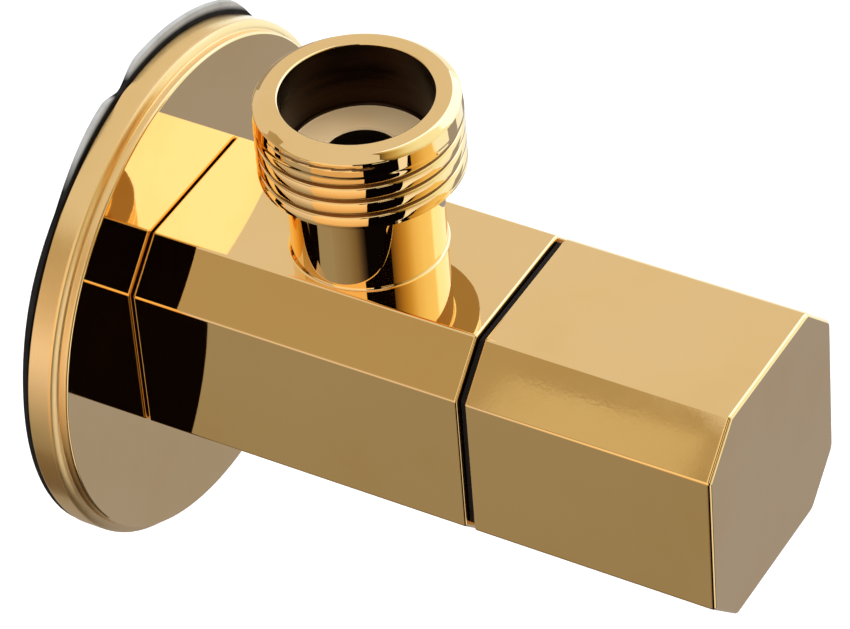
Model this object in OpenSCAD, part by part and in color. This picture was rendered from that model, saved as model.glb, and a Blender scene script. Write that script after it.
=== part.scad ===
// Quarter-turn angle stop valve with a square, corner-cut body and a matching handle.
// X runs along the valve's axis, out of the wall. Z points up, along the outlet.
// The origin is on the valve's axis, in the wall plane behind the flange. Sizes in mm.

/* [Wall flange] */
// Outer diameter of the flange
flange_d = 55.2; // [50:0.2:65]
// Distance from the wall to the flange's flat face
flange_depth = 4.7; // [4.4:0.1:5.5]
// Thickness of the flange's sheet metal
flange_t = 0.9; // [0.7:0.1:1]
// Part of the wall gasket that shows behind the flange
gasket_show = 0.6; // [0.5:0.1:1]
// How far the soft gasket sits off centre, upwards
gasket_shift = 1.2; // [0:0.1:1.2]

/* [Body] */
// Width across the flats of the body and of the handle
body_w = 26.4; // [26:0.2:30]
// Corner cut, measured along a flat
corner_cut = 4.8; // [3.5:0.1:5]
// Length of the body, from the flange to the handle's gap
body_len = 37.5; // [36:0.5:40]
// Bevel around the ends of the body and of the handle
end_bevel = 0.4; // [0.2:0.1:0.6]
// Length of the inlet thread behind the wall plane
tail_len = 7.4; // [6:0.2:30]

/* [Outlet] */
// Distance of the outlet's axis from the flange's face
outlet_pos = 20.6; // [18:0.2:22]
// Height of the outlet's sealing face above the valve's axis
outlet_top = 31.9; // [30:0.1:40]
// Length of the threaded collar
collar_len = 8.6; // [8.5:0.1:10]
// Diameter of the neck under the collar
neck_d = 15.8; // [14:0.2:16.4]
// Diameter of the socket inside the collar
socket_d = 15.5; // [12:0.1:15.6]
// Depth of that socket
socket_depth = 7.6; // [4:0.2:8]
// Diameter of the waterway under the socket
port_d = 7.8; // [5:0.2:8]

/* [Handle] */
// Gap between the body and the handle
handle_gap = 0.85; // [0.8:0.05:1.2]
// Length of the handle
handle_len = 27; // [26:0.5:34]
// Wall thickness of the handle's shell
shell_t = 2.2; // [2:0.1:2.2]

/* [Hidden] */
$fn = 96;

gold = [0.83, 0.65, 0.36];
bare_brass = [0.78, 0.62, 0.34];
steel = [0.72, 0.73, 0.75];
alumina = [0.93, 0.92, 0.88];
black_rubber = [0.06, 0.06, 0.06];
acetal = [0.10, 0.10, 0.11];
nylon = [0.86, 0.85, 0.80];

// G1/2 pipe thread: major radius and pitch, and the ridges' form
thread_r = 20.955 / 2;
thread_pitch = 1.814;
thread_crest = 0.6;
thread_depth = 0.85;
lead_in = 0.6;
lead_in_r = 1;

// Stations along X
body_back = flange_depth + 0.15;
mouth = flange_depth + body_len;
handle_back = mouth + handle_gap;
handle_end = handle_back + handle_len;
outlet_x = flange_depth + outlet_pos;
collar_base = outlet_top - collar_len;
shank_start = -0.9;
shank_r = 10.3;

// The cartridge is one standard item, so its stations are all measured back from the body's mouth
seat = mouth - 27.7;
cage_base = seat + 2.1;
disc_base = seat + 2.7;
disc_joint = disc_base + 3;
disc_top = disc_joint + 3.5;
spigot = mouth - 14.8;
washer_seat = mouth - 10.4;
bonnet_top = mouth + 7.8;
chamber_r = 9.4;
cage_r = 8.3;
cage_bore = 6.6;
bonnet_thread_r = 9.95;
mouth_thread_r = 10;
counterbore_r = 12;
stem_r = 4;
stem_bore = 4.1;
spline_r = 3.9;
spline_root = 3.35;
spline_teeth = 20;
spline_start = mouth + 9.8;
spline_end = mouth + 19.3;
oring_stations = [mouth - 6.7, mouth - 2.7];
groove_w = 1.6;
groove_r = 3;
circlip_x = bonnet_top + 0.15;
circlip_t = 0.9;

// Quarter turn: a rib in the bonnet runs in a relief cut in the stem's shoulder
turn = 90;
rib_half = 20;
stop_play = 1.5;

// Handle socket and the grub screw, which comes in through the upper rear corner cut
boss_r = 8.6;
adapter_r = 5.9;
adapter_start = mouth + 9.9;
adapter_end = mouth + 21;
screw_r = 1.95;
screw_x = handle_back + 0.54 * handle_len;
screw_tip = 5.35;
screw_len = 8;
screw_turn = 135;
corner_reach = (body_w - corner_cut) / sqrt(2);

// Turns local Z into the X axis: local x points down and local y points to the back
module along_x() {
    rotate([0, 90, 0]) children();
}

// A ring or solid of revolution about X, from points [radius, x]
module turned(points) {
    along_x() rotate_extrude() polygon(points);
}

// A plain ring about X
module ring(r_in, r_out, x0, x1) {
    turned([[r_in, x0], [r_out, x0], [r_out, x1], [r_in, x1]]);
}

// A round-section ring about X
module oring(r_mid, r_section, x) {
    along_x() translate([0, 0, x]) rotate_extrude() translate([r_mid, 0]) circle(r_section, $fn = 48);
}

// The corner-cut square: width across flats w, corner cut c
module cut_square(w, c) {
    h = w / 2;
    polygon([[h, h - c], [h - c, h], [c - h, h], [-h, h - c], [-h, c - h], [c - h, -h], [h - c, -h], [h, c - h]]);
}

module cut_prism(w, c, x0, x1) {
    along_x() translate([0, 0, x0]) linear_extrude(x1 - x0) cut_square(w, c);
}

// The same prism with a bevel around both ends
module bevelled_prism(w, c, x0, x1, bevel) {
    reach = [w / 2, (w - c) / sqrt(2)];
    difference() {
        cut_prism(w, c, x0, x1);
        for (i = [0:7], x = [x0, x1])
            rotate([i * 45, 0, 0]) translate([x, 0, reach[i % 2]]) rotate([0, 45, 0])
                cube([bevel * sqrt(2), w, bevel * sqrt(2)], center = true);
    }
}

// Points [radius, height] of a ridged thread's outline from z0 up to z1; the lowest ridge takes what is left
function ridges(r, z0, z1, pitch, crest, depth) =
    let (
        n = floor((z1 - z0 - crest) / pitch + 0.001),
        flank = (pitch - crest) * 0.42,
        start = z1 - crest - n * pitch)
    concat([[r, z0]], [for (i = [0:n - 1]) let (z = start + i * pitch + crest)
        each [[r, z], [r - depth, z + flank], [r - depth, z + pitch - crest - flank], [r, z + pitch - crest]]],
        [[r, z1]]);

// Ring sector of radii r0 to r1, from angle a0 to a1
module sector(r0, r1, a0, a1, steps = 12) {
    polygon(concat(
        [for (i = [0:steps]) let (a = a0 + (a1 - a0) * i / steps) r1 * [cos(a), sin(a)]],
        [for (i = [steps:-1:0]) let (a = a0 + (a1 - a0) * i / steps) r0 * [cos(a), sin(a)]]));
}

// The two facing openings of a ceramic disc
module disc_openings(turned_by, x0, x1) {
    along_x() translate([0, 0, x0]) linear_extrude(x1 - x0)
        for (side = [0, 180]) rotate(turned_by + side) sector(1.8, 5.4, -38, 38);
}

module spline_profile(grow = 0) {
    step = 360 / spline_teeth;
    tip = spline_r + grow;
    root = spline_root + grow;
    polygon([for (i = [0:spline_teeth - 1])
        each [for (p = [[root, -0.38], [tip, -0.16], [tip, 0.16], [root, 0.38]])
            let (a = (i + p[1]) * step) p[0] * [cos(a), sin(a)]]]);
}

module tail() {
    turned(concat(
        [[0, -tail_len], [thread_r - lead_in_r, -tail_len]],
        ridges(thread_r, -tail_len + lead_in, shank_start, thread_pitch, thread_crest, thread_depth),
        [[shank_r, shank_start], [shank_r, body_back + 1], [0, body_back + 1]]));
}

module outlet_neck() {
    neck_r = neck_d / 2;
    foot = 0.45;
    translate([outlet_x, 0, 0]) rotate_extrude() polygon(concat(
        [[0, 0], [neck_r + foot, 0], [neck_r + foot, body_w / 2], [neck_r, body_w / 2 + foot],
         [neck_r, collar_base]],
        ridges(thread_r, collar_base, outlet_top - lead_in, thread_pitch, thread_crest, thread_depth),
        [[thread_r - lead_in_r, outlet_top], [0, outlet_top]]));
}

// The waterway and the cartridge's seat, cut out of the body
module body_hollow() {
    turned([
        [0, -tail_len - 1], [6.9, -tail_len - 1], [6.9, -tail_len + 5], [6.5, -tail_len + 5],
        [6.5, -tail_len + 5.6], [6, -tail_len + 5.6], [6, seat], [chamber_r, seat],
        [chamber_r, mouth - 10.9], [mouth_thread_r, mouth - 10.9], [mouth_thread_r, mouth - 2.2],
        [counterbore_r, mouth - 2.2], [counterbore_r, mouth + 1], [0, mouth + 1]]);
    translate([outlet_x, 0, 0]) {
        cylinder(h = outlet_top, d = port_d);
        translate([0, 0, outlet_top - socket_depth]) cylinder(h = socket_depth + 1, d = socket_d);
    }
}

module valve_body() {
    color(gold) difference() {
        union() {
            bevelled_prism(body_w, corner_cut, body_back, mouth, end_bevel);
            tail();
            outlet_neck();
        }
        body_hollow();
    }
}

// Perforated cup that keeps grit out of the cartridge
module inlet_strainer() {
    lip = -tail_len + 5.05;
    cup_r = 5.4;
    cup_end = lip + 7.5;
    hole_r = 0.55;
    color(steel) difference() {
        turned([
            [cup_r - 0.3, lip], [6.45, lip], [6.45, lip + 0.45], [cup_r, lip + 0.45],
            [cup_r, cup_end], [0, cup_end], [0, cup_end - 0.4], [cup_r - 0.3, cup_end - 0.4]]);
        for (row = [0:2], i = [0:11])
            translate([lip + 2 + row * 1.9, 0, 0]) rotate([i * 30 + row * 15, 0, 0])
                translate([0, 0, cup_r - 1]) cylinder(h = 2, r = hole_r, $fn = 24);
        for (i = [0:5]) rotate([i * 60, 0, 0])
            translate([cup_end - 1, 0, 3]) rotate([0, 90, 0]) cylinder(h = 2, r = 0.7, $fn = 24);
        translate([cup_end - 1, 0, 0]) rotate([0, 90, 0]) cylinder(h = 2, r = 0.7, $fn = 24);
    }
}

// Screwed-in top of the cartridge, with its hexagon inside the handle
module bonnet() {
    hex_r = 18 / sqrt(3);
    color(bare_brass) {
        difference() {
            union() {
                turned(concat(
                    [[0, spigot], [7.5, spigot], [7.5, spigot + 2], [8.6, spigot + 2],
                     [8.6, mouth - 10.4]],
                    ridges(bonnet_thread_r, mouth - 10.2, mouth - 3.6, 1, 0.5, 0.45),
                    [[9.2, mouth - 3.2], [9.2, mouth - 1], [11.7, mouth - 1], [11.7, mouth], [6.4, mouth],
                     [6.4, bonnet_top - 0.4], [6, bonnet_top], [0, bonnet_top]]));
                along_x() translate([0, 0, mouth]) cylinder(h = 5, r = hex_r, $fn = 6);
            }
            turned([
                [0, spigot - 1], [6.7, spigot - 1], [6.7, washer_seat], [stem_bore, washer_seat],
                [stem_bore, bonnet_top + 1], [0, bonnet_top + 1]]);
        }
        along_x() translate([0, 0, spigot + 1.4]) linear_extrude(2.1) sector(4.9, 6.75, -rib_half, rib_half);
    }
}

module bonnet_oring() {
    color(black_rubber) oring(10.6, 0.56, mouth - 1.6);
}

// Windowed sleeve that holds the two discs under the bonnet
module disc_cage() {
    color(acetal) difference() {
        turned([
            [cage_bore, cage_base], [cage_r, cage_base], [cage_r, spigot + 1.9], [7.55, spigot + 1.9],
            [7.55, spigot - 0.05], [cage_bore, spigot - 0.05]]);
        along_x() translate([0, 0, cage_base - 1]) linear_extrude(disc_joint - cage_base + 1.1)
            square([2.8, 14.8], center = true);
        for (side = [-1, 1]) translate([disc_top + 0.1, side * 7.5 - 2, -4]) cube([3.1, 4, 8]);
    }
}

module fixed_disc() {
    color(alumina) difference() {
        along_x() translate([0, 0, disc_base]) {
            cylinder(h = 3, r = 6.4);
            translate([-1.3, -7.25, 0]) cube([2.6, 14.5, 3]);
        }
        disc_openings(0, disc_base - 1, disc_joint + 1);
    }
}

// Rubber seal that presses on the body's seat
module seat_seal() {
    color(black_rubber) turned([
        [5, seat], [7.2, seat], [8.2, seat + 0.6], [8.2, cage_base], [6.4, cage_base],
        [6.4, disc_base], [5, disc_base]]);
}

module rotating_disc() {
    color(alumina) difference() {
        along_x() translate([0, 0, disc_joint + 0.05]) cylinder(h = 3.45, r = 6.4);
        disc_openings(90, disc_joint - 1, disc_top + 1);
        translate([disc_top - 1, -1.1, -7]) cube([2, 2.2, 14]);
    }
}

// Spindle: drive blade, stop shoulder, ring grooves, circlip groove and splined end
module stem() {
    shoulder_base = spigot + 1;
    shoulder_top = washer_seat - 0.85;
    color(bare_brass) {
        difference() {
            union() {
                along_x() translate([0, 0, shoulder_base])
                    cylinder(h = shoulder_top - shoulder_base, r = 6.5);
                along_x() translate([0, 0, shoulder_base])
                    cylinder(h = spline_start - shoulder_base, r = stem_r);
                translate([disc_top - 0.9, -1, -4.8]) cube([shoulder_base - disc_top + 1, 2, 9.6]);
            }
            along_x() translate([0, 0, shoulder_base - 0.01]) linear_extrude(shoulder_top - shoulder_base + 0.02)
                sector(4.7, 8, -rib_half - turn - stop_play, rib_half + stop_play, 24);
            for (x = oring_stations) ring(groove_r, stem_r + 1, x - groove_w / 2, x + groove_w / 2);
            ring(3.3, stem_r + 1, circlip_x - 0.05, circlip_x + circlip_t + 0.05);
        }
        along_x() translate([0, 0, spline_start]) linear_extrude(spline_end - spline_start) spline_profile();
    }
}

module stem_orings() {
    color(black_rubber) for (x = oring_stations) oring(3.53, 0.5, x);
}

module stem_circlip() {
    color(steel) along_x() translate([0, 0, circlip_x]) linear_extrude(circlip_t) {
        sector(3.35, 5.4, 35, 325, 40);
        for (a = [38, 322]) rotate(a) translate([4.9, 0]) circle(0.9, $fn = 32);
    }
}

module thrust_washer() {
    color(nylon) ring(4.15, 6.4, washer_seat - 0.8, washer_seat - 0.05);
}

// Hollow handle with a socket boss for the spline adapter and a pad for the grub screw
module handle_shell() {
    cavity_end = handle_end - 2.6;
    color(gold) difference() {
        bevelled_prism(body_w, corner_cut, handle_back, handle_end, end_bevel);
        difference() {
            cut_prism(body_w - 2 * shell_t, corner_cut - 1.2, handle_back - 1, cavity_end);
            ring(0, boss_r, adapter_start - 0.4, cavity_end + 1);
            translate([screw_x, 0, 0]) along_screw() cylinder(h = corner_reach, r = 4);
        }
        along_x() translate([0, 0, handle_back]) cylinder(h = adapter_end + 0.2 - handle_back, r = adapter_r + 0.1);
        translate([screw_x, 0, 0]) along_screw() cylinder(h = corner_reach + 2, r = screw_r + 0.05, $fn = 48);
    }
}

// Turns local Z to the grub screw's axis, square to the upper rear corner cut
module along_screw() {
    rotate([-45, 0, 0]) children();
}

module spline_adapter() {
    color(nylon) difference() {
        along_x() translate([0, 0, adapter_start]) cylinder(h = adapter_end - adapter_start, r = adapter_r);
        along_x() translate([0, 0, adapter_start - 1]) linear_extrude(spline_end - adapter_start + 1.3)
            spline_profile(0.08);
        translate([screw_x, 0, 0]) along_screw() translate([0, 0, screw_tip + 4.95]) cube([7, 12, 10], center = true);
    }
}

module handle_grub_screw() {
    socket_r = 2 / sqrt(3);
    color(steel) translate([screw_x, 0, 0]) along_screw() translate([0, 0, screw_tip]) difference() {
        rotate_extrude() polygon(concat(
            [[0, 0], [screw_r - 0.6, 0]],
            ridges(screw_r, 0.5, screw_len - 0.3, 0.7, 0.3, 0.3),
            [[screw_r - 0.3, screw_len], [0, screw_len]]));
        translate([0, 0, screw_len - 2.2]) cylinder(h = 3, r = socket_r, $fn = 6);
    }
}

// Corner-cut spacer plate that fills the gap, with a collar that snaps into the handle
module glide_ring() {
    bore_r = 10.55;
    color(acetal) difference() {
        union() {
            cut_prism(body_w - 1.2, corner_cut - 0.35, mouth + 0.1, handle_back - 0.1);
            ring(bore_r - 1, bore_r + 0.4, handle_back - 0.3, handle_back + 1.6);
        }
        ring(0, bore_r, mouth, handle_back + 2);
    }
}

// Dished sheet-metal flange with a stepped, beaded edge and a hub that slides on the inlet shank
module escutcheon() {
    r = flange_d / 2;
    face = flange_depth;
    back = gasket_show;
    bead = 1;
    step_r = r - 0.95;
    hub_r = 13.6;
    groove_out = 12.2;
    color(gold) difference() {
        union() {
            turned([
                [hub_r + 1, back], [r - 0.25, back], [r, back + 0.25], [r, face - 1.65],
                [step_r, face - 1], [step_r, face - 0.25], [step_r - 0.25, face],
                [10.9, face], [10.9, face - 1], [groove_out, face - 1], [groove_out, face - 2.8],
                [11, face - 2.8], [11, face - 3.3], [hub_r + 1, face - 3.3]]);
            oring(r - bead, bead, face - 1.65);
        }
        turned([
            [hub_r, back - 1], [r - flange_t, back - 1], [r - flange_t, face - 2], [r - 1.5, face - 1.3],
            [r - 1.9, face - flange_t], [hub_r, face - flange_t]]);
    }
}

// Soft ring between the flange and the wall
module wall_gasket() {
    r = flange_d / 2;
    edge = r + 0.15;
    color(black_rubber) translate([0, 0, gasket_shift]) turned([
        [r - 4.2, 0], [edge, 0], [edge, gasket_show - 0.02], [r - 2.6, gasket_show - 0.02],
        [r - 2.8, gasket_show + 1], [r - 4.2, gasket_show + 1]]);
}

// Rubber ring in the hub that holds the flange where it is pushed to
module escutcheon_grip_ring() {
    color(black_rubber) oring(11.25, 0.72, flange_depth - 1.9);
}

valve_body();
inlet_strainer();
bonnet();
bonnet_oring();
disc_cage();
fixed_disc();
seat_seal();
stem();
stem_orings();
stem_circlip();
thrust_washer();
rotating_disc();
handle_shell();
spline_adapter();
handle_grub_screw();
glide_ring();
escutcheon();
wall_gasket();
escutcheon_grip_ring();
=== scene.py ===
import math

import bpy
import bmesh
from mathutils import Matrix, Vector


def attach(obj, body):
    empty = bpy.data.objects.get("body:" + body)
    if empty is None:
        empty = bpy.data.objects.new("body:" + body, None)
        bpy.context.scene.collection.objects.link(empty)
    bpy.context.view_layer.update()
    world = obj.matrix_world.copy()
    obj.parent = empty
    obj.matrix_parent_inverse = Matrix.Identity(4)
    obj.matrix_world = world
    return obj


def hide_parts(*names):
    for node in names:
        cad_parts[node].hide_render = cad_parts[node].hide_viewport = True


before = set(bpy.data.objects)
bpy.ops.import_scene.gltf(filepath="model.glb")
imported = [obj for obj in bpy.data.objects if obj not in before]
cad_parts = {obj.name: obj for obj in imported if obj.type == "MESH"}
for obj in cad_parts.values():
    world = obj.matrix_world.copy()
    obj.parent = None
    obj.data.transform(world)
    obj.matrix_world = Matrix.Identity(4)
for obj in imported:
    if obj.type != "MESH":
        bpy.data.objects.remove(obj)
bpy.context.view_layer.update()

MM = 0.001
ORIGIN = (0.0, 0.0, 0.0)

# ---------------------------------------------------------------- sizes in mm, as in the CAD model
BODY_BACK, MOUTH = 4.85, 42.2
HANDLE_BACK, HANDLE_END = 43.05, 70.05
BODY_W, CORNER_CUT = 26.4, 4.8
BODY_TOP = BODY_W / 2
SHELL_T, END_T = 2.2, 2.6
OUTLET_X, OUTLET_TOP, COLLAR_BASE = 25.3, 31.9, 23.3
NECK_R, FOOT = 7.9, 0.3
SOCKET_R, SOCKET_FLOOR, PORT_R = 7.75, 24.3, 3.9
THREAD_R, PITCH = 10.4775, 1.814
CREST_SLOPE, GROOVE = 0.3, 0.58
RISE, FALL = 0.3, 0.18          # shares of a pitch, from groove to crest and from crest to groove
LEAD_IN = 1.0
TAIL_LEN, SHANK_R, SHANK_START = 7.4, 10.3, -0.9
FLANGE_R, FLANGE_FACE, FLANGE_T = 27.6, 4.7, 0.9
GASKET = 0.6
SEAT = MOUTH - 27.7
WATERWAY_R, STRAINER_R, CHAMBER_R, BONNET_R, MOUTH_R = 6, 6.9, 9.4, 10, 12
ADAPTER_START, ADAPTER_END = MOUTH + 9.9, MOUTH + 21
SCREW_X = HANDLE_BACK + 0.54 * (HANDLE_END - HANDLE_BACK)
SCREW_R, DISH_R, DISH_Z = 2, 3.1, 14.85


# ---------------------------------------------------------------- mesh helpers
def make_object(name, bm):
    """Turns a bmesh into a linked object, with its faces outwards."""
    bmesh.ops.recalc_face_normals(bm, faces=bm.faces)
    mesh = bpy.data.meshes.new(name)
    bm.to_mesh(mesh)
    bm.free()
    obj = bpy.data.objects.new(name, mesh)
    bpy.context.scene.collection.objects.link(obj)
    return obj


def place(r, turn, h, along, centre):
    """Cylinder coordinates (turn in whole turns) to a point in metres, about X or Z."""
    a = 2 * math.pi * turn
    if along == "x":
        p = Vector((h, r * math.cos(a), r * math.sin(a)))
    else:
        p = Vector((r * math.cos(a), r * math.sin(a), h))
    return (p + Vector(centre)) * MM


def add_ring(bm, r, h, along, centre, steps):
    """A ring of vertices, or a single one if the radius is zero."""
    if r < 1e-6:
        return [bm.verts.new(place(0, 0, h, along, centre))]
    return [bm.verts.new(place(r, i / steps, h, along, centre)) for i in range(steps)]


def add_rings(bm, profile, first, along, centre, steps):
    """Goes on from the ring `first` through (radius, height) points; a zero radius closes it."""
    last = first
    for r, h in profile:
        ring = add_ring(bm, r, h, along, centre, steps)
        if last is not None:
            for i in range(steps):
                j = (i + 1) % steps
                if len(ring) == 1:
                    bm.faces.new((last[i], last[j], ring[0]))
                elif len(last) == 1:
                    bm.faces.new((last[0], ring[j], ring[i]))
                else:
                    bm.faces.new((last[i], last[j], ring[j], ring[i]))
        last = ring
    return last


def turned(name, profile, along="x", centre=ORIGIN, steps=192):
    """A solid of revolution. An open profile starts and ends on the axis; a closed one never
    touches it."""
    bm = bmesh.new()
    if profile[0][0] < 1e-6:
        add_rings(bm, profile, None, along, centre, steps)
    else:
        first = add_ring(bm, *profile[0], along, centre, steps)
        last = add_rings(bm, profile[1:], first, along, centre, steps)
        for i in range(steps):
            j = (i + 1) % steps
            bm.faces.new((last[i], last[j], first[j], first[i]))
    return make_object(name, bm)


def arc(cx, cy, r, a0, a1, steps=6):
    """Points of an arc in the profile's plane, angles in degrees."""
    angles = [math.radians(a0 + (a1 - a0) * i / steps) for i in range(steps + 1)]
    return [(cx + r * math.cos(a), cy + r * math.sin(a)) for a in angles]


def ease(x):
    """A smooth step from 0 to 1."""
    x = max(0.0, min(1.0, x))
    return x * x * (3 - 2 * x)


def threaded(name, z0, z1, envelope, below, above, centre=ORIGIN, phase=0.0, runout=None,
             steps=256, rows=30):
    """A bar along Z with a helical groove between sloping crests, from z0 to z1. envelope(z) is its
    outer radius. The profiles `below` and `above` close it from either end to the axis. The groove
    fades in above z0, and out above `runout`, where a short shallow groove is left at the front."""
    bm = bmesh.new()
    dz = PITCH / rows
    count = int((z1 - z0) / dz) + 2 * rows
    start, fade_in, fade_out = 0.15, 0.5, 0.7
    mark_turn, mark_half_turn, mark_rise, mark_half_height, mark_depth = 0.77, 0.11, 1.4, 0.3, 0.25

    def radius(z, turn):
        w = (z / PITCH - turn - phase + 0.5) % 1.0
        drop = CREST_SLOPE * max(0.0, (w - RISE) / (1 - RISE)) ** 2 + GROOVE * ease(1 - w / RISE)
        drop += (GROOVE - CREST_SLOPE) * ease((w - (1 - FALL)) / FALL)
        drop *= ease((z - z0 - start) / fade_in)
        if runout is not None:
            drop *= 1 - ease((z - runout) / fade_out)
            aside = abs((turn - mark_turn + 0.5) % 1.0 - 0.5) / mark_half_turn
            off_level = abs(z - runout - mark_rise) / mark_half_height
            drop += mark_depth * ease(1 - aside ** 4) * ease(1 - off_level)
        return min(envelope(z), THREAD_R - drop)

    columns = []
    for i in range(steps + 1):
        turn = (i % steps) / steps
        if i == steps:          # back at the first column, one pitch up
            columns.append([columns[0][min(count, k + rows)] for k in range(count + 1)])
            continue
        low = bm.verts.new(place(radius(z0, turn), turn, z0, "z", centre))
        high = bm.verts.new(place(radius(z1, turn), turn, z1, "z", centre))
        column = []
        for k in range(count + 1):
            z = z0 - PITCH + k * dz + PITCH * turn
            if z <= z0 + dz * 0.3:
                column.append(low)
            elif z >= z1 - dz * 0.3:
                column.append(high)
            else:
                column.append(bm.verts.new(place(radius(z, turn), turn, z, "z", centre)))
        columns.append(column)
    for a, b in zip(columns, columns[1:]):
        for k in range(count):
            corners = list(dict.fromkeys((a[k], b[k], b[k + 1], a[k + 1])))
            if len(corners) > 2:
                bm.faces.new(corners)
    lows = [c[0] for c in columns[:steps]]
    highs = [c[-1] for c in columns[:steps]]
    add_rings(bm, below, lows, "z", centre, steps)
    add_rings(bm, above, highs, "z", centre, steps)
    return make_object(name, bm)


def section(width, cut, corner_r, rear_r, inset, arc_steps=8):
    """The corner-cut square with rounded corners, moved inwards by `inset`: (y, z) points. The
    edges on the +Y side have the radius rear_r."""
    h = width / 2
    flats = [(h, h - cut), (h - cut, h), (cut - h, h), (-h, h - cut),
             (-h, cut - h), (cut - h, -h), (h - cut, -h), (h, cut - h)]
    points = []
    for k, (y, z) in enumerate(flats):
        r = rear_r if k in (0, 1, 6, 7) else corner_r
        back = r / math.cos(math.radians(22.5))
        mid = math.radians(22.5 + 45 * k)
        cy, cz = y - back * math.cos(mid), z - back * math.sin(mid)
        for i in range(arc_steps + 1):
            a = math.radians(45 * k + 45 * i / arc_steps)
            points.append((cy + (r - inset) * math.cos(a), cz + (r - inset) * math.sin(a)))
    return points


def bar(name, x0, x1, width, cut, corner_r, rear_r, end_r0, end_r1, end_steps=6):
    """A corner-cut square bar along X with rounded long edges and rounded ends."""
    bm = bmesh.new()
    stations = []
    for i in range(end_steps + 1):
        t = math.radians(90 * i / end_steps)
        stations.append((x0 + end_r0 * (1 - math.cos(t)), end_r0 * (1 - math.sin(t))))
    for i in range(end_steps + 1):
        t = math.radians(90 - 90 * i / end_steps)
        stations.append((x1 - end_r1 * (1 - math.cos(t)), end_r1 * (1 - math.sin(t))))
    loops = []
    for x, inset in stations:
        points = section(width, cut, corner_r, rear_r, inset)
        loops.append([bm.verts.new(Vector((x, y, z)) * MM) for y, z in points])
    n = len(loops[0])
    for a, b in zip(loops, loops[1:]):
        for i in range(n):
            j = (i + 1) % n
            bm.faces.new((a[i], a[j], b[j], b[i]))
    bm.faces.new(loops[0])
    bm.faces.new(loops[-1])
    return make_object(name, bm)


def combine(obj, tool, operation):
    """Applies an exact boolean and deletes the tool."""
    mod = obj.modifiers.new("combine", "BOOLEAN")
    mod.operation, mod.solver, mod.object = operation, "EXACT", tool
    bpy.context.view_layer.update()
    mesh = bpy.data.meshes.new_from_object(obj.evaluated_get(bpy.context.evaluated_depsgraph_get()))
    obj.modifiers.remove(mod)
    old = obj.data
    obj.data = mesh
    mesh.name = obj.name
    bpy.data.meshes.remove(old)
    bpy.data.objects.remove(tool)


def finish_mesh(obj, angle=34, flat_area=10):
    """Smooths curved surfaces and keeps planes dead flat. A corner's normal is the mean of the
    faces round it that lie within `angle` of its own, weighted by area squared; faces over
    flat_area mm2 keep their own."""
    bm = bmesh.new()
    bm.from_mesh(obj.data)
    bmesh.ops.remove_doubles(bm, verts=bm.verts, dist=1e-7)
    bmesh.ops.dissolve_degenerate(bm, dist=1e-7, edges=bm.edges)
    bm.to_mesh(obj.data)
    bm.free()
    mesh = obj.data
    limit = math.cos(math.radians(angle))
    normals = [p.normal.copy() for p in mesh.polygons]
    areas = [p.area / MM ** 2 for p in mesh.polygons]
    around = [[] for _ in mesh.vertices]
    for p in mesh.polygons:
        p.use_smooth = True
        for v in p.vertices:
            around[v].append(p.index)
    corner_normals = []
    for p in mesh.polygons:
        own = normals[p.index]
        for v in p.vertices:
            if areas[p.index] > flat_area:
                corner_normals.append(own)
                continue
            total = Vector()
            for q in around[v]:
                if normals[q].dot(own) > limit:
                    total += normals[q] * (areas[q] ** 2 + 1e-9)
            corner_normals.append(total.normalized())
    mesh.normals_split_custom_set(corner_normals)


# ---------------------------------------------------------------- body
RIM_START = OUTLET_TOP - 0.7
SHOULDER = [(r, OUTLET_TOP - down) for r, down in (       # the rounded rim: radius, depth
    (10.26, 0.6), (10.1, 0.48), (9.9, 0.34), (9.72, 0.2), (9.55, 0.08), (9.4, 0.02), (9.2, 0))]
LIP, FILLET, FLOOR_FILLET = 0.3, 0.25, 0.5
NECK_ROOT = 10.5                # the neck starts inside the block
THREAD_END = 29.3
GROOVE_Z, GROOVE_TURN = 24.7, 75 / 360      # a point that the outlet's groove passes through
LIFT = 0.01                     # the foot ends this far above the block, for a clean union


def lead_in(z):
    """The outlet thread's outer radius, which shrinks a little towards the rim."""
    return THREAD_R - 0.09 * max(0.0, z - RIM_START + 1.6)


def tail_lead_in(z):
    """The tail thread's outer radius, with a step down to its lead-in."""
    return THREAD_R - 0.3 * ease((z - TAIL_LEN + 1) / 0.4)


body = bar("body", BODY_BACK, MOUTH, BODY_W, CORNER_CUT, corner_r=0.45, rear_r=0.9,
           end_r0=0.3, end_r1=0.3)
outlet = threaded(
    "outlet", COLLAR_BASE, RIM_START, lead_in,
    below=[(NECK_R + FILLET, COLLAR_BASE)]
    + arc(NECK_R + FILLET, COLLAR_BASE - FILLET, FILLET, 90, 180, 4)[1:]
    + arc(NECK_R + FOOT, BODY_TOP + LIFT + FOOT, FOOT, 180, 270, 6)
    + [(NECK_R + FOOT, NECK_ROOT), (0, NECK_ROOT)],
    above=SHOULDER
    + [(SOCKET_R + LIP, OUTLET_TOP)]
    + arc(SOCKET_R + LIP, OUTLET_TOP - LIP, LIP, 90, 180, 5)[1:]
    + [(SOCKET_R, SOCKET_FLOOR + FLOOR_FILLET)]
    + arc(SOCKET_R - FLOOR_FILLET, SOCKET_FLOOR + FLOOR_FILLET, FLOOR_FILLET, 0, -90, 4)[1:]
    + [(PORT_R + 1, SOCKET_FLOOR), (0, SOCKET_FLOOR)],
    centre=(OUTLET_X, 0, 0), phase=GROOVE_Z / PITCH + GROOVE_TURN + 0.5, runout=THREAD_END)
combine(body, outlet, "UNION")
tail = threaded(
    "tail", -SHANK_START, TAIL_LEN - 0.6, tail_lead_in,
    below=[(SHANK_R, -SHANK_START), (SHANK_R, -BODY_BACK - 1), (0, -BODY_BACK - 1)],
    above=[(THREAD_R - LEAD_IN, TAIL_LEN), (7.2, TAIL_LEN), (WATERWAY_R, TAIL_LEN - 2),
           (0, TAIL_LEN - 2)])
tail.data.transform(Matrix.Rotation(math.radians(-90), 4, "Y"))
combine(body, tail, "UNION")
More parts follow.
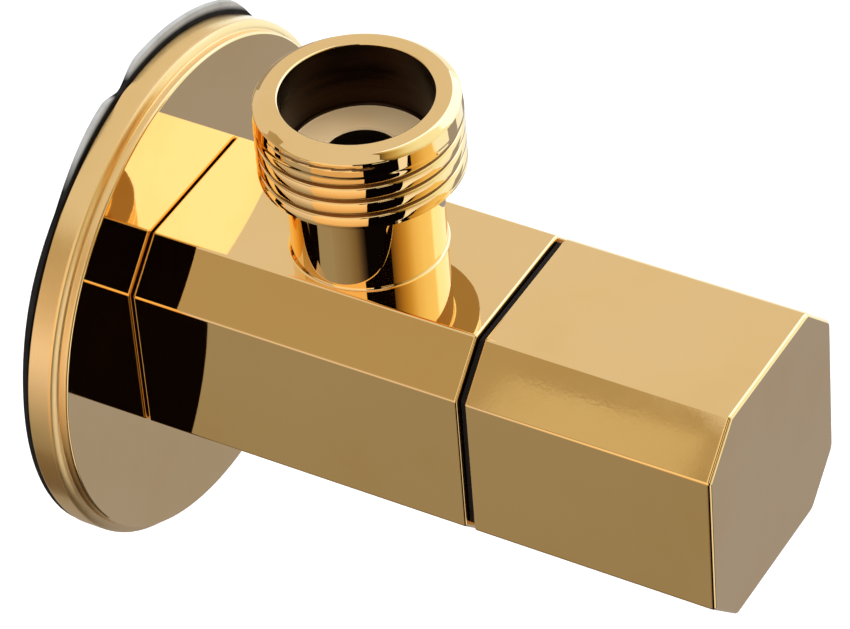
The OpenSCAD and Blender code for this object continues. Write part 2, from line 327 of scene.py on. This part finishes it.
hollow = turned("hollow", [
    (0, -TAIL_LEN - 1), (STRAINER_R + 1, -TAIL_LEN - 1), (STRAINER_R, -TAIL_LEN),
    (STRAINER_R, -TAIL_LEN + 5), (6.5, -TAIL_LEN + 5), (6.5, -TAIL_LEN + 5.6),
    (WATERWAY_R, -TAIL_LEN + 5.6), (WATERWAY_R, SEAT), (CHAMBER_R, SEAT),
    (CHAMBER_R, MOUTH - 10.9), (BONNET_R, MOUTH - 10.9), (BONNET_R, MOUTH - 2.2),
    (MOUTH_R, MOUTH - 2.2), (MOUTH_R, MOUTH + 1), (0, MOUTH + 1)], steps=160)
combine(body, hollow, "DIFFERENCE")
port = turned("port", [
    (0, 1), (PORT_R, 1), (PORT_R, SOCKET_FLOOR - 0.2), (PORT_R + 0.6, SOCKET_FLOOR + 0.4),
    (0, SOCKET_FLOOR + 0.4)], along="z", centre=(OUTLET_X, 0, 0), steps=96)
combine(body, port, "DIFFERENCE")
finish_mesh(body)

# ---------------------------------------------------------------- handle
handle = bar("handle", HANDLE_BACK, HANDLE_END, BODY_W, CORNER_CUT, corner_r=0.45, rear_r=1.6,
             end_r0=0.3, end_r1=0.45)
cavity_end = HANDLE_END - END_T
cavity = bar("cavity", HANDLE_BACK - 1, cavity_end, BODY_W - 2 * SHELL_T, CORNER_CUT - 1.2,
             corner_r=0.5, rear_r=0.5, end_r0=0.01, end_r1=0.5)
boss_r, pad_r, bore_r = 8.6, 4, 6
boss_start, bore_end = ADAPTER_START - 0.4, ADAPTER_END + 0.2
boss = turned("boss", [(0, boss_start), (boss_r, boss_start), (boss_r, cavity_end + 1),
                       (0, cavity_end + 1)], steps=96)
combine(cavity, boss, "DIFFERENCE")
to_screw = Matrix.Translation((SCREW_X * MM, 0, 0)) @ Matrix.Rotation(math.radians(-45), 4, "X")
pad = turned("pad", [(0, 0), (pad_r, 0), (pad_r, 15), (0, 15)], along="z", steps=64)
pad.data.transform(to_screw)
combine(cavity, pad, "DIFFERENCE")
combine(handle, cavity, "DIFFERENCE")
bore = turned("bore", [(0, HANDLE_BACK - 1), (bore_r, HANDLE_BACK - 1), (bore_r, bore_end),
                       (0, bore_end)], steps=96)
combine(handle, bore, "DIFFERENCE")
screw_hole = turned("screw_hole", [
    (0, 1), (SCREW_R, 1), (SCREW_R, DISH_Z - 0.25), (DISH_R, DISH_Z), (DISH_R, 16), (0, 16)],
    along="z", steps=64)
screw_hole.data.transform(to_screw)
combine(handle, screw_hole, "DIFFERENCE")
finish_mesh(handle)

# ---------------------------------------------------------------- flange, gasket, ring
R, F = FLANGE_R, FLANGE_FACE
STEP_R = R - 0.95               # the bead's inner edge, where the flat face starts
BEAD_START = F - 1.65           # the wall's top, where the bead starts
HUB_R, HUB_LIP, HUB_OUT_R = 11.1, 0.2, 13.6
GRIP_R, GRIP_START, GRIP_END = 12.2, F - 1, F - 2.8
# the closed outline: back edge, wall, bead, step and face, then the hub and the dish behind them
flange = turned(
    "flange", [(R - 0.8, GASKET), (R - 0.3, GASKET)]
    + arc(R - 0.3, GASKET + 0.3, 0.3, -90, 0, 6)[1:]
    + arc(R - 1, BEAD_START, 1, 0, 18, 5)
    + arc(R - 1.122, F - 2.533, 1.604, 48, 78, 10)
    + arc(STEP_R + 0.14, F - 0.82, 0.14, 270, 180, 4)
    + arc(STEP_R - 0.3, F - 0.3, 0.3, 0, 90, 6)
    + [(R - 8, F), (HUB_R, F)]
    + arc(HUB_R, F - HUB_LIP, HUB_LIP, 90, 180, 4)[1:]
    + [(HUB_R - HUB_LIP, GRIP_START), (GRIP_R, GRIP_START), (GRIP_R, GRIP_END), (11, GRIP_END),
       (11, F - 3.3), (HUB_OUT_R, F - 3.3), (HUB_OUT_R, F - FLANGE_T), (R - 1.9, F - FLANGE_T),
       (R - 1.5, F - 1.3), (R - FLANGE_T, F - 2)], steps=320)
finish_mesh(flange, 26)

# where the gasket is squeezed out: from, to, fade in and fade out in degrees, and size in mm
SWELLS = ((40, 100, 18, 8, 1.45), (99, 136, 7, 28, 1.25), (118, 174, 30, 30, 0.4))


def gasket_edge(angle):
    """Radius of the soft gasket's edge at an angle about the flange's axis."""
    swell = 0.0
    for first, last, fade_in, fade_out, size in SWELLS:
        rise, fall = ease((angle - first) / fade_in), ease((last - angle) / fade_out)
        swell = max(swell, size * rise * fall)
    return R - 0.1 + swell


def soft_gasket(steps=360):
    """A flat ring with an uneven edge and a lip that rises inside the flange."""
    bm = bmesh.new()
    loops = []
    inner, thick, round_r, lip = R - 4.2, GASKET - 0.02, 0.2, GASKET + 1
    for i in range(steps):
        edge = gasket_edge(360 * i / steps)
        profile = [(inner, 0), (edge - 0.15, 0)]
        profile += arc(edge - round_r, round_r, round_r, -60, 0, 3)
        profile += arc(edge - round_r, thick - round_r, round_r, 0, 90, 4)
        profile += [(R - 2.6, thick), (R - 2.8, lip), (inner, lip)]
        loops.append([bm.verts.new(place(r, i / steps, h, "x", ORIGIN)) for r, h in profile])
    n = len(loops[0])
    for a, b in zip(loops, loops[1:] + loops[:1]):
        for k in range(n):
            m = (k + 1) % n
            bm.faces.new((a[k], a[m], b[m], b[k]))
    return make_object("gasket", bm)


gasket = soft_gasket()
finish_mesh(gasket)
# a black plastic ring in the gap between body and handle; its near-black colour also stands in for
# the shade in that gap
glide = bar("glide", MOUTH + 0.1, HANDLE_BACK - 0.1, BODY_W - 1.2, CORNER_CUT - 0.35,
            corner_r=0.4, rear_r=0.6, end_r0=0.08, end_r1=0.08)
collar_r, eye_r, collar_start, collar_end = 10.95, 10.55, HANDLE_BACK - 0.3, HANDLE_BACK + 1.6
collar = turned("collar", [
    (0, collar_start), (collar_r, collar_start), (collar_r, collar_end - 0.2),
    (collar_r - 0.2, collar_end), (0, collar_end)], steps=128)
combine(glide, collar, "UNION")
eye = turned("eye", [(0, MOUTH), (eye_r, MOUTH), (eye_r, HANDLE_BACK + 2), (0, HANDLE_BACK + 2)],
             steps=128)
combine(glide, eye, "DIFFERENCE")
finish_mesh(glide)


# ---------------------------------------------------------------- materials
class Nodes:
    """A material's node tree with short calls."""

    def __init__(self, name):
        self.mat = bpy.data.materials.new(name)
        self.mat.use_nodes = True
        self.tree = self.mat.node_tree
        self.bsdf = self.tree.nodes["Principled BSDF"]

    def add(self, kind, **sockets):
        node = self.tree.nodes.new(kind)
        for key, value in sockets.items():
            if key in node.inputs:
                node.inputs[key].default_value = value
            else:
                setattr(node, key, value)
        return node

    def link(self, a, b):
        self.tree.links.new(a, b)

    def coords(self, scale=(1, 1, 1)):
        tex = self.add("ShaderNodeTexCoord")
        mapping = self.add("ShaderNodeMapping")
        mapping.inputs["Scale"].default_value = scale
        self.link(tex.outputs["Object"], mapping.inputs["Vector"])
        return mapping.outputs["Vector"]

    def noise(self, scale, detail=3, rough=0.55, stretch=(1, 1, 1)):
        node = self.add("ShaderNodeTexNoise", Scale=scale, Detail=detail, Roughness=rough)
        self.link(self.coords(stretch), node.inputs["Vector"])
        return node.outputs["Fac"]

    def ramp(self, fac, stops):
        node = self.add("ShaderNodeValToRGB")
        while len(node.color_ramp.elements) < len(stops):
            node.color_ramp.elements.new(0.5)
        for e, (pos, col) in zip(node.color_ramp.elements, stops):
            e.position = pos
            e.color = (*col, 1)
        self.link(fac, node.inputs["Fac"])
        return node.outputs["Color"]

    def spread(self, fac, low, high, from_low=0.3, from_high=0.7):
        """Maps the range from_low..from_high of fac to low..high."""
        node = self.add("ShaderNodeMapRange")
        for key, value in (("From Min", from_low), ("From Max", from_high),
                           ("To Min", low), ("To Max", high)):
            node.inputs[key].default_value = value
        self.link(fac, node.inputs["Value"])
        return node.outputs["Result"]

    def bump(self, layers):
        """Stacks (height, strength, distance in metres) layers into one normal."""
        normal = None
        for height, strength, distance in layers:
            node = self.add("ShaderNodeBump", Strength=strength, Distance=distance)
            self.link(height, node.inputs["Height"])
            if normal is not None:
                self.link(normal, node.inputs["Normal"])
            normal = node.outputs["Normal"]
        self.link(normal, self.bsdf.inputs["Normal"])

    def set(self, **values):
        for key, value in values.items():
            self.bsdf.inputs[key.replace("_", " ")].default_value = value


SPECULAR = "Specular IOR Level"
GOLD_TINTS = [(0.3, (0.97, 0.665, 0.275)), (0.5, (1.0, 0.70, 0.31)), (0.75, (1.0, 0.715, 0.335))]


def gold(name="polished_gold", rough_low=0.012, rough_high=0.05):
    m = Nodes(name)
    m.set(Metallic=1.0)
    m.link(m.ramp(m.noise(55, 4, 0.6), GOLD_TINTS), m.bsdf.inputs["Base Color"])
    smudge = m.noise(140, 5, 0.65)
    m.link(m.spread(smudge, rough_low, rough_high), m.bsdf.inputs["Roughness"])
    m.bump([(m.noise(90, 2, 0.4), 0.008, 0.0006), (m.noise(2600, 2, 0.5), 0.01, 0.00003)])
    return m.mat


def brass():
    m = Nodes("machined_brass")
    m.set(Metallic=1.0)
    turning = m.noise(900, 3, 0.6, (1, 0.08, 0.08))
    tints = [(0.3, (0.72, 0.50, 0.22)), (0.7, (0.86, 0.62, 0.30))]
    m.link(m.ramp(m.noise(120, 4), tints), m.bsdf.inputs["Base Color"])
    m.link(m.spread(turning, 0.18, 0.36), m.bsdf.inputs["Roughness"])
    m.bump([(turning, 0.25, 0.00004)])
    return m.mat


def inner_metal(name, dark, light, rough_low, rough_high, metallic=1.0):
    m = Nodes(name)
    m.set(Metallic=metallic)
    turning = m.noise(700, 4, 0.6, (0.15, 0.15, 1))
    m.link(m.ramp(turning, [(0.3, dark), (0.7, light)]), m.bsdf.inputs["Base Color"])
    m.link(m.spread(turning, rough_low, rough_high), m.bsdf.inputs["Roughness"])
    m.bump([(turning, 0.2, 0.00003)])
    return m.mat


def steel():
    m = Nodes("stainless_steel")
    m.set(Metallic=1.0)
    grain = m.noise(1400, 3, 0.6, (1, 0.2, 1))
    tints = [(0.3, (0.56, 0.56, 0.57)), (0.7, (0.72, 0.72, 0.73))]
    m.link(m.ramp(m.noise(160, 4), tints), m.bsdf.inputs["Base Color"])
    m.link(m.spread(grain, 0.2, 0.38), m.bsdf.inputs["Roughness"])
    m.bump([(grain, 0.2, 0.00003)])
    return m.mat


def rubber():
    m = Nodes("black_rubber")
    tints = [(0.3, (0.022, 0.022, 0.024)), (0.75, (0.07, 0.07, 0.074))]
    m.link(m.ramp(m.noise(220, 5, 0.6), tints), m.bsdf.inputs["Base Color"])
    m.link(m.spread(m.noise(500, 4), 0.5, 0.8), m.bsdf.inputs["Roughness"])
    m.set(**{SPECULAR: 0.35})
    m.bump([(m.noise(1800, 4, 0.6), 0.35, 0.00008)])
    return m.mat


def gasket_rubber():
    """Black rubber, darkened next to the flange as painted shade, with a pale grey outer edge as
    painted light where the gasket is squeezed out past the flange.
    """
    m = Nodes("gasket_rubber")
    painted_shade_to, painted_light_from = 0.0279, 0.0284       # metres from the flange's axis
    tex = m.add("ShaderNodeTexCoord")
    flat = m.add("ShaderNodeVectorMath")
    flat.operation = "MULTIPLY"
    flat.inputs[1].default_value = (0, 1, 1)
    m.link(tex.outputs["Object"], flat.inputs[0])
    radius = m.add("ShaderNodeVectorMath")
    radius.operation = "LENGTH"
    m.link(flat.outputs["Vector"], radius.inputs[0])
    # painted shade: near-black next to the flange; painted light: pale grey on the squeezed-out
    # outer edge
    black = m.ramp(m.noise(220, 5, 0.6),
                   [(0.3, (0.006, 0.005, 0.005)), (0.75, (0.02, 0.018, 0.017))])
    painted_lit_edge = m.ramp(m.noise(300, 4, 0.6), [(0.3, (0.34, 0.34, 0.33)), (0.7, (0.46, 0.46, 0.45))])
    mix = m.add("ShaderNodeMix")
    mix.data_type = "RGBA"
    first, second, result = mix.inputs[6], mix.inputs[7], mix.outputs[2]    # the colour sockets
    m.link(m.spread(radius.outputs["Value"], 0, 1, painted_shade_to, painted_light_from), mix.inputs["Factor"])
    m.link(black, first)
    m.link(painted_lit_edge, second)
    m.link(result, m.bsdf.inputs["Base Color"])
    m.link(m.spread(m.noise(500, 4), 0.55, 0.8), m.bsdf.inputs["Roughness"])
    m.set(**{SPECULAR: 0.12})
    m.bump([(m.noise(1800, 4, 0.6), 0.3, 0.00006)])
    return m.mat


def plastic(name, dark, light, rough_low, rough_high, specular=0.5):
    m = Nodes(name)
    m.set(**{SPECULAR: specular})
    m.link(m.ramp(m.noise(180, 4), [(0.3, dark), (0.7, light)]), m.bsdf.inputs["Base Color"])
    m.link(m.spread(m.noise(700, 4), rough_low, rough_high), m.bsdf.inputs["Roughness"])
    m.bump([(m.noise(2200, 3), 0.2, 0.00004)])
    return m.mat


GOLD, BRASS, STEEL, RUBBER = gold(), brass(), steel(), rubber()
SATIN_GOLD = gold("satin_gold", 0.14, 0.26)
BEAD_GOLD = gold("bead_gold", 0.26, 0.36)
# painted shade: near-black socket wall
SOCKET_WALL_SHADE = inner_metal("socket_wall_painted_shade", (0.018, 0.010, 0.006), (0.045, 0.022, 0.012), 0.25, 0.4)
# painted reflection: matte pale tan in place of the gold ledge's reflection
LEDGE_REFLECTION = inner_metal("socket_ledge_painted_reflection", (1.0, 0.66, 0.32), (1.0, 0.76, 0.42), 0.4, 0.55, metallic=0.0)
# painted shade: darker thread grooves
GROOVE_SHADE = inner_metal("thread_root_painted_shade", (0.16, 0.08, 0.03), (0.34, 0.18, 0.07), 0.25, 0.4)
# painted shade: dark bores
BORE_SHADE = inner_metal("bore_painted_shade", (0.12, 0.085, 0.045), (0.2, 0.14, 0.07), 0.45, 0.6)
ACETAL = plastic("black_acetal", (0.004, 0.003, 0.003), (0.012, 0.009, 0.008), 0.35, 0.5,
                 specular=0.12)
NYLON = plastic("white_nylon", (0.72, 0.70, 0.63), (0.82, 0.81, 0.76), 0.35, 0.55)
CERAMIC = plastic("white_ceramic", (0.86, 0.84, 0.79), (0.92, 0.91, 0.88), 0.08, 0.2)


def dress(obj, mat):
    """Gives an object one material in place of those it has."""
    obj.data.materials.clear()
    obj.data.materials.append(mat)


for obj, mat, node, rider, slot_name in (
        (body, GOLD, "valve_body", "valve", "gold_finish"),
        (handle, GOLD, "handle_shell", "handle", "gold_finish"),
        (flange, GOLD, "escutcheon", "flange", "gold_finish"),
        (gasket, gasket_rubber(), "wall_gasket", "flange", "black_rubber"),
        (glide, ACETAL, "glide_ring", "handle", "black_acetal")):
    dress(obj, mat)
    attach(obj, rider)
    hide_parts(node)

# the flange's flat face is polished; its wall, bead and back are satin
ON_WALL, ON_BEAD = 1, 2
for extra in (SATIN_GOLD, BEAD_GOLD):
    flange.data.materials.append(extra)
for face in flange.data.polygons:
    c = face.center / MM
    if math.hypot(c.y, c.z) > STEP_R - 0.1 or c.x < F - 0.8:
        face.material_index = ON_BEAD if c.x > BEAD_START else ON_WALL

# the body's hollows are dark as painted shade and not polished, and the outlet thread's grooves are
# darker than its crests as painted shade; the socket's ledge is a matte pale tan as a painted
# reflection
IN_SOCKET, ON_LEDGE, IN_BORE, IN_GROOVE = 1, 2, 3, 4
for extra in (SOCKET_WALL_SHADE, LEDGE_REFLECTION, BORE_SHADE, GROOVE_SHADE):
    body.data.materials.append(extra)


def part_of_body(c, up):
    """Material slot for a face of the body, from its centre in mm and its normal's height."""
    off_outlet = math.hypot(c.x - OUTLET_X, c.y)
    off_axis = math.hypot(c.y, c.z)
    inside = off_outlet < SOCKET_R + 0.05
    if inside and SOCKET_FLOOR + 0.05 < c.z < OUTLET_TOP - 0.05:
        return IN_SOCKET
    if inside and abs(c.z - SOCKET_FLOOR) < 0.2 and up > 0.5:
        return ON_LEDGE
    if off_outlet < PORT_R + 0.8 and abs(up) < 0.8 and 0 < c.z < SOCKET_FLOOR + 0.1:
        return IN_BORE
    if off_axis < (MOUTH_R + 0.1 if c.x > BODY_BACK else STRAINER_R + 1.1) and c.x < MOUTH - 0.1:
        return IN_BORE
    if 9.5 < off_outlet < THREAD_R - 0.34 and COLLAR_BASE + 0.15 < c.z < THREAD_END + 0.7:
        return IN_GROOVE
    if 9.5 < off_outlet < THREAD_R - 0.15 and THREAD_END + 1 < c.z < THREAD_END + 1.8:
        return IN_GROOVE
    return 0


for face in body.data.polygons:
    face.material_index = part_of_body(face.center / MM, face.normal.z)

# CAD nodes that stay as they are, with their materials
KEPT = {
    "inlet_strainer": STEEL, "bonnet": BRASS, "bonnet_oring": RUBBER, "disc_cage": ACETAL,
    "fixed_disc": CERAMIC, "seat_seal": RUBBER, "stem": BRASS, "stem_orings": RUBBER,
    "stem_circlip": STEEL, "thrust_washer": NYLON, "rotating_disc": CERAMIC,
    "spline_adapter": NYLON, "handle_grub_screw": STEEL, "escutcheon_grip_ring": RUBBER}
for name, mat in KEPT.items():
    dress(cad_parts[name], mat)


# ---------------------------------------------------------------- studio
def direction(azimuth, elevation):
    """A unit vector from angles in degrees; azimuth 0 is +X and 90 is +Y."""
    a, e = math.radians(azimuth), math.radians(elevation)
    return Vector((math.cos(a) * math.cos(e), math.sin(a) * math.cos(e), math.sin(e)))


def glow(name, stops, by, distance):
    """An emission whose colour runs through (angle, colour) stops over a card's azimuth or
    elevation."""
    mat = bpy.data.materials.new(name)
    mat.use_nodes = True
    tree = mat.node_tree
    tree.nodes.clear()
    link = tree.links.new
    coord = tree.nodes.new("ShaderNodeTexCoord")
    split = tree.nodes.new("ShaderNodeSeparateXYZ")
    link(coord.outputs["Object"], split.inputs[0])
    angle = tree.nodes.new("ShaderNodeMath")
    if by == "azimuth":
        angle.operation = "ARCTAN2"
        link(split.outputs["Y"], angle.inputs[0])
        link(split.outputs["X"], angle.inputs[1])
    else:
        height = tree.nodes.new("ShaderNodeMath")
        height.operation = "DIVIDE"
        height.inputs[1].default_value = distance
        link(split.outputs["Z"], height.inputs[0])
        angle.operation = "ARCSINE"
        link(height.outputs[0], angle.inputs[0])
    first, last = stops[0][0], stops[-1][0]
    span = tree.nodes.new("ShaderNodeMapRange")
    span.inputs["From Min"].default_value = math.radians(first)
    span.inputs["From Max"].default_value = math.radians(last)
    link(angle.outputs[0], span.inputs["Value"])
    peak = max(max(colour) for _, colour in stops)
    ramp = tree.nodes.new("ShaderNodeValToRGB")
    while len(ramp.color_ramp.elements) < len(stops):
        ramp.color_ramp.elements.new(0.5)
    for e, (at, colour) in zip(ramp.color_ramp.elements, stops):
        e.position = (at - first) / (last - first)
        e.color = (*(c / peak for c in colour), 1)
    link(span.outputs[0], ramp.inputs["Fac"])
    light = tree.nodes.new("ShaderNodeEmission")
    light.inputs["Strength"].default_value = peak
    link(ramp.outputs["Color"], light.inputs["Color"])
    out = tree.nodes.new("ShaderNodeOutputMaterial")
    link(light.outputs[0], out.inputs["Surface"])
    return mat


def card(name, azimuth, elevation, colours, distance, by="elevation"):
    """A curved reflector board round the object, seen only in reflections. azimuth and elevation
    are (from, to) in degrees; colours is one colour, or (angle, colour) stops."""
    cell = 3
    columns = max(1, round((azimuth[1] - azimuth[0]) / cell))
    rows = max(1, round((elevation[1] - elevation[0]) / cell))
    stops = colours if isinstance(colours, list) else [(angle, colours) for angle in elevation]
    bm = bmesh.new()
    grid = []
    for j in range(rows + 1):
        e = elevation[0] + (elevation[1] - elevation[0]) * j / rows
        grid.append([])
        for i in range(columns + 1):
            a = azimuth[0] + (azimuth[1] - azimuth[0]) * i / columns
            grid[-1].append(bm.verts.new(distance * direction(a, e)))
    for low, high in zip(grid, grid[1:]):
        for i in range(columns):
            bm.faces.new((low[i], low[i + 1], high[i + 1], high[i]))
    mesh = bpy.data.meshes.new(name)
    bm.to_mesh(mesh)
    bm.free()
    obj = bpy.data.objects.new(name, mesh)
    bpy.context.scene.collection.objects.link(obj)
    mesh.materials.append(glow(name, stops, by, distance))
    obj.visible_camera = obj.visible_diffuse = obj.visible_shadow = False
    obj.visible_transmission = obj.visible_volume_scatter = False
    return obj


def corner_card(name, corners, colour, distance):
    """A small four-cornered reflector; the corners are (azimuth, elevation), in turn."""
    obj = card(name, (0, 1), (0, 1), colour, distance)
    for v, k in zip(obj.data.vertices, (0, 1, 3, 2)):
        v.co = distance * direction(*corners[k])


BLACK, DARK = (0.002, 0.001, 0.001), (0.03, 0.02, 0.012)
PALE, CREAM = (1.0, 1.15, 1.3), (0.95, 0.88, 0.75)
FRONT_WALL = [
    (-36, (0.62, 0.40, 0.20)), (-20, (0.9, 0.62, 0.36)), (0, (1.05, 0.85, 0.6)),
    (25, (1.0, 0.86, 0.66)), (50, (0.9, 0.8, 0.65))]
card("room_low", (-180, 180), (-90, 0), (0.36, 0.33, 0.29), 3.4)
card("room_high", (-180, 180), (0, 90), (0.74, 0.71, 0.70), 3.4)
card("low_right", (36, 100), (-90, -5), (0.36, 0.37, 0.46), 3.3)
card("side_wall", (-175, -112), (-90, 41), [
    (-90, (0.10, 0.08, 0.05)), (-75, (0.12, 0.09, 0.06)), (-50, (0.21, 0.16, 0.11)),
    (-46, (0.31, 0.28, 0.23)), (-36, (0.36, 0.33, 0.28)), (-25, (0.55, 0.48, 0.44)),
    (-10, (0.86, 0.78, 0.80)), (-3, (0.90, 0.80, 0.80)), (12, (0.62, 0.50, 0.40)),
    (35, (0.46, 0.375, 0.26)), (41, (0.44, 0.36, 0.23))], 3.2)
card("front_wall", (-112, -66), (-36, 50), FRONT_WALL, 3.2)
card("front_wall_end", (-72, -57), (-36, 27), FRONT_WALL[:4], 2.95)
card("front_floor", (-112, -60), (-90, -52), DARK, 3.0)
card("right_low_near", (14, 48), (-36, -25), PALE, 3.0)
card("right_low_far", (68, 125), (-36, 4), PALE, 3.05)
card("dark_end", (-27, -20), (-36, 4), BLACK, 2.95)
card("front_low", (-112, -27), (-90, -36), [
    (-112, (0.33, 0.29, 0.24)), (-90, (0.27, 0.22, 0.15)), (-77, (0.19, 0.14, 0.08)),
    (-68, (0.06, 0.04, 0.03)), (-62, (0.003, 0.002, 0.002)), (-27, (0.003, 0.002, 0.002))],
    3.1, by="azimuth")
card("dark_front", (-68, -27), (-36, 56), BLACK, 3.0)
card("low_strip", (-24, 14), (-52, -2), [
    (-52, (0.9, 0.9, 0.95)), (-15, (1.0, 1.0, 1.05)), (-2, (0.6, 0.55, 0.5))], 3.0)
card("low_dark", (-27, 36), (-90, -36), [(-90, (0.05, 0.04, 0.03)), (-36, (0.12, 0.10, 0.09))],
     3.1)
card("right_wall", (-27, 96), (4, 80), [
    (-27, (0.12, 0.08, 0.03)), (-14, (0.42, 0.30, 0.11)), (-3, (0.6, 0.5, 0.22)),
    (10, (0.85, 0.85, 0.65)), (25, (0.95, 1.05, 0.95)), (46, (1.0, 1.14, 1.1)),
    (51, (1.35, 1.6, 2.45)), (96, (1.4, 1.6, 2.5))], 3.0, by="azimuth")
card("right_wall_low", (14, 96), (-25, 4), [
    (14, (0.9, 1.0, 0.9)), (30, (1.0, 1.2, 1.4)), (96, (1.1, 1.3, 1.6))], 3.0, by="azimuth")
card("edge_light", (-47, -30), (18, 35), CREAM, 2.9)
corner_card("bevel_light", [(-119.1, 38.7), (-115.4, 38.7), (-115.86, 40.81), (-119.04, 39.94)],
            (0.62, 0.54, 0.38), 3.15)

world = bpy.data.worlds.new("studio")
bpy.context.scene.world = world
world.use_nodes = True
background = world.node_tree.nodes["Background"]
background.inputs["Color"].default_value = (1, 1, 1, 1)
background.inputs["Strength"].default_value = 0.95
world.cycles_visibility.glossy = False

FLOOR_HALF, FLOOR_Z = 8, -0.12          # metres
floor_bm = bmesh.new()
bmesh.ops.create_grid(floor_bm, x_segments=1, y_segments=1, size=FLOOR_HALF)
floor = make_object("floor", floor_bm)
floor.location.z = FLOOR_Z
floor_mat = Nodes("pale_floor")
floor_mat.set(Base_Color=(0.93, 0.93, 0.93, 1), Roughness=0.9)
floor.data.materials.append(floor_mat.mat)
floor.visible_glossy = False


def area(name, location, size, power):
    """A soft square light that looks at the origin and isn't seen in reflections."""
    data = bpy.data.lights.new(name, "AREA")
    data.shape, data.size, data.energy = "SQUARE", size, power
    obj = bpy.data.objects.new(name, data)
    bpy.context.scene.collection.objects.link(obj)
    obj.location = location
    obj.rotation_euler = (-Vector(location)).to_track_quat("-Z", "Y").to_euler()
    obj.visible_glossy = obj.visible_camera = False


area("key", (0.9, 1.0, 1.3), 1.2, 18)
area("fill", (-1.2, 0.3, 1.2), 1.4, 8)

scene = bpy.context.scene
scene.view_settings.view_transform = "Standard"
scene.view_settings.look = "None"

# ---------------------------------------------------------------- camera
AIM_RIGHT, AIM_UP, CAMERA_DISTANCE = 22.538, -2.969, 554.874     # from the flange's face, mm
ROLL = math.radians(-4.844)
cam_data = bpy.data.cameras.new("camera")
cam = bpy.data.objects.new("camera", cam_data)
scene.collection.objects.link(cam)
scene.camera = cam
cam_data.sensor_width = 36
cam_data.lens = 227.4
cam_data.shift_x, cam_data.shift_y = 0.0013, -0.0053
cam_data.clip_start, cam_data.clip_end = 0.02, 30
back = direction(-57.625, 41.006)
level = Vector((0, 0, 1)).cross(back).normalized()
steep = back.cross(level)
right = level * math.cos(ROLL) + steep * math.sin(ROLL)
up = steep * math.cos(ROLL) - level * math.sin(ROLL)
target = Vector((FLANGE_FACE, 0, 0)) + right * AIM_RIGHT + up * AIM_UP
cam.matrix_world = Matrix((
    (right.x, up.x, back.x, 0), (right.y, up.y, back.y, 0), (right.z, up.z, back.z, 0),
    (0, 0, 0, 1)))
cam.location = (target + back * CAMERA_DISTANCE) * MM
